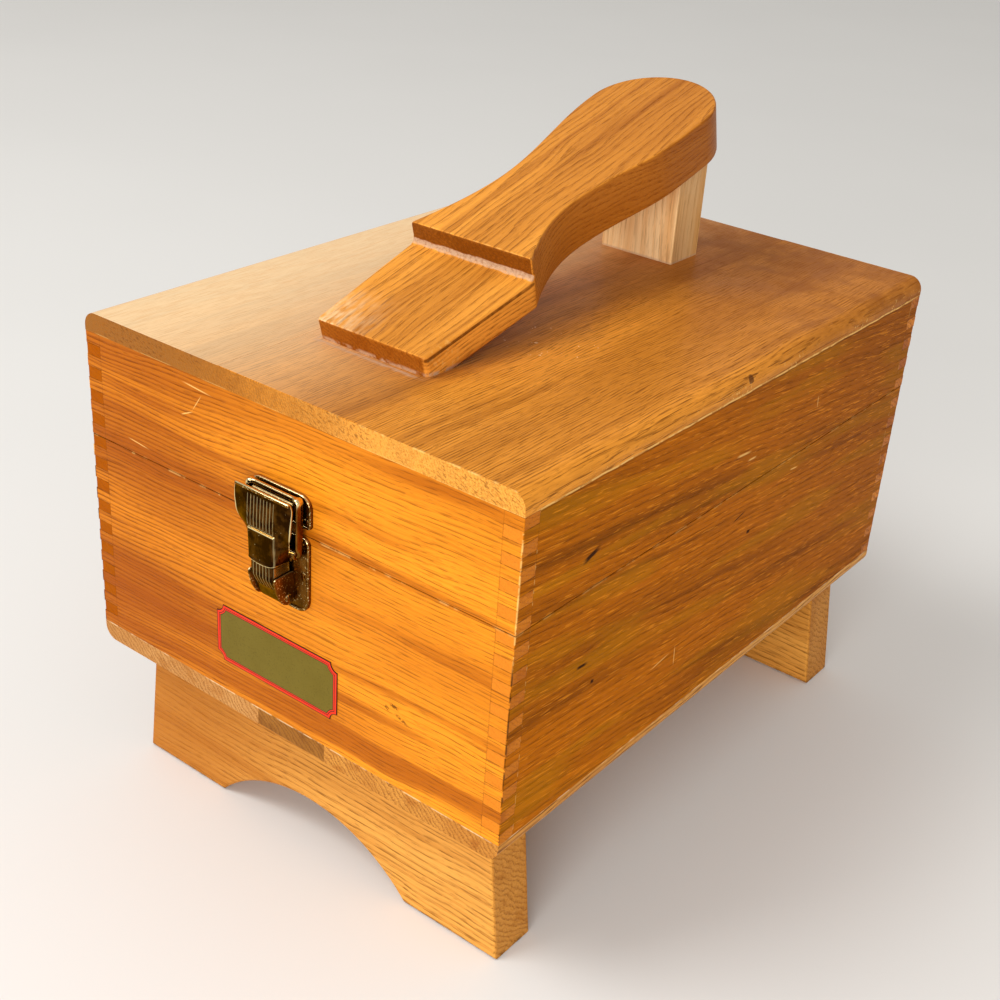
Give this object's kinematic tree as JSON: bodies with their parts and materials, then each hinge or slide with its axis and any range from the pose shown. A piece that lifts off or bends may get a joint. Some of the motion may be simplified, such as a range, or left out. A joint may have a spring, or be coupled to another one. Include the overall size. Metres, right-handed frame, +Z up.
{
  "type": "shoe shine box",
  "caption": "Wooden shoe shine box with a hinged lid, a sole-shaped foot rest on a post, arched foot boards and a brass snap latch.",
  "frame": {"origin": "on the ground, under the middle of the bounding box, which runs from the tip of the latch to the back of the hinges", "axes": "+X to the box's right as seen from the latch side, +Y from the latch to the hinges, +Z up"},
  "size_m": [0.25, 0.3628, 0.3334],
  "materials": {
    "oak_front": "varnished",
    "oak_back": "varnished",
    "oak_side": "varnished",
    "oak_bottom_pale": "varnished",
    "oak_bottom_dark": "varnished",
    "oak_bottom_mid": "varnished",
    "oak_foot": "varnished",
    "oak_top_left": "varnished",
    "oak_top_middle": "varnished",
    "oak_top_right": "varnished",
    "oak_rest": "varnished",
    "oak_post": "varnished",
    "brass_latch": "polished, tarnished",
    "brass_lever": "polished, tarnished",
    "brass_wire": "polished, tarnished",
    "brass_hinge": "satin",
    "brass_screw": "satin",
    "steel_screw": "satin",
    "label": "semi-gloss"
  },
  "bodies": {
    "body": {"front_panel": "oak_front", "back_panel": "oak_back", "left_panel": "oak_side", "right_panel": "oak_side", "bottom_stave_left": "oak_bottom_pale", "bottom_stave_middle": "oak_bottom_dark", "bottom_stave_right": "oak_bottom_mid", "front_foot": "oak_foot", "rear_foot": "oak_foot", "front_foot_screws": "steel_screw", "rear_foot_screws": "steel_screw", "label_plate": "label", "latch_base_plate": "brass_latch", "latch_pivot_pin": "brass_latch", "latch_base_nails": "brass_latch", "hinge_left_body_leaf": "brass_hinge", "hinge_left_pin": "brass_hinge", "hinge_right_body_leaf": "brass_hinge", "hinge_right_pin": "brass_hinge", "hinge_body_screws": "brass_screw"},
    "lid": {"lid_front_rail": "oak_front", "lid_back_rail": "oak_back", "lid_left_rail": "oak_side", "lid_right_rail": "oak_side", "top_stave_left": "oak_top_left", "top_stave_middle": "oak_top_middle", "top_stave_right": "oak_top_right", "footrest_sole": "oak_rest", "footrest_post": "oak_post", "footrest_heel_screws": "steel_screw", "footrest_post_screws": "steel_screw", "latch_strike_plate": "brass_latch", "latch_strike_nails": "brass_latch", "hinge_left_lid_leaf": "brass_hinge", "hinge_right_lid_leaf": "brass_hinge", "hinge_lid_screws": "brass_screw"},
    "latch_lever": {"latch_lever": "brass_lever"},
    "latch_bail": {"latch_bail": "brass_wire"}
  },
  "joints": [
    {"name": "lid_hinge", "type": "hinge", "parent": "body", "child": "lid", "pos_m": [0, 0.1789, 0.1853], "axis": [-1, 0, 0], "range_deg": [0, 110]},
    {"name": "latch_lever_hinge", "type": "hinge", "parent": "body", "child": "latch_lever", "pos_m": [0, -0.1724, 0.1541], "axis": [1, 0, 0], "range_deg": [0, 150]},
    {"name": "latch_bail_hinge", "type": "hinge", "parent": "latch_lever", "child": "latch_bail", "pos_m": [0, -0.1725, 0.1771], "axis": [1, 0, 0], "range_deg": [0, 8]}
  ]
}
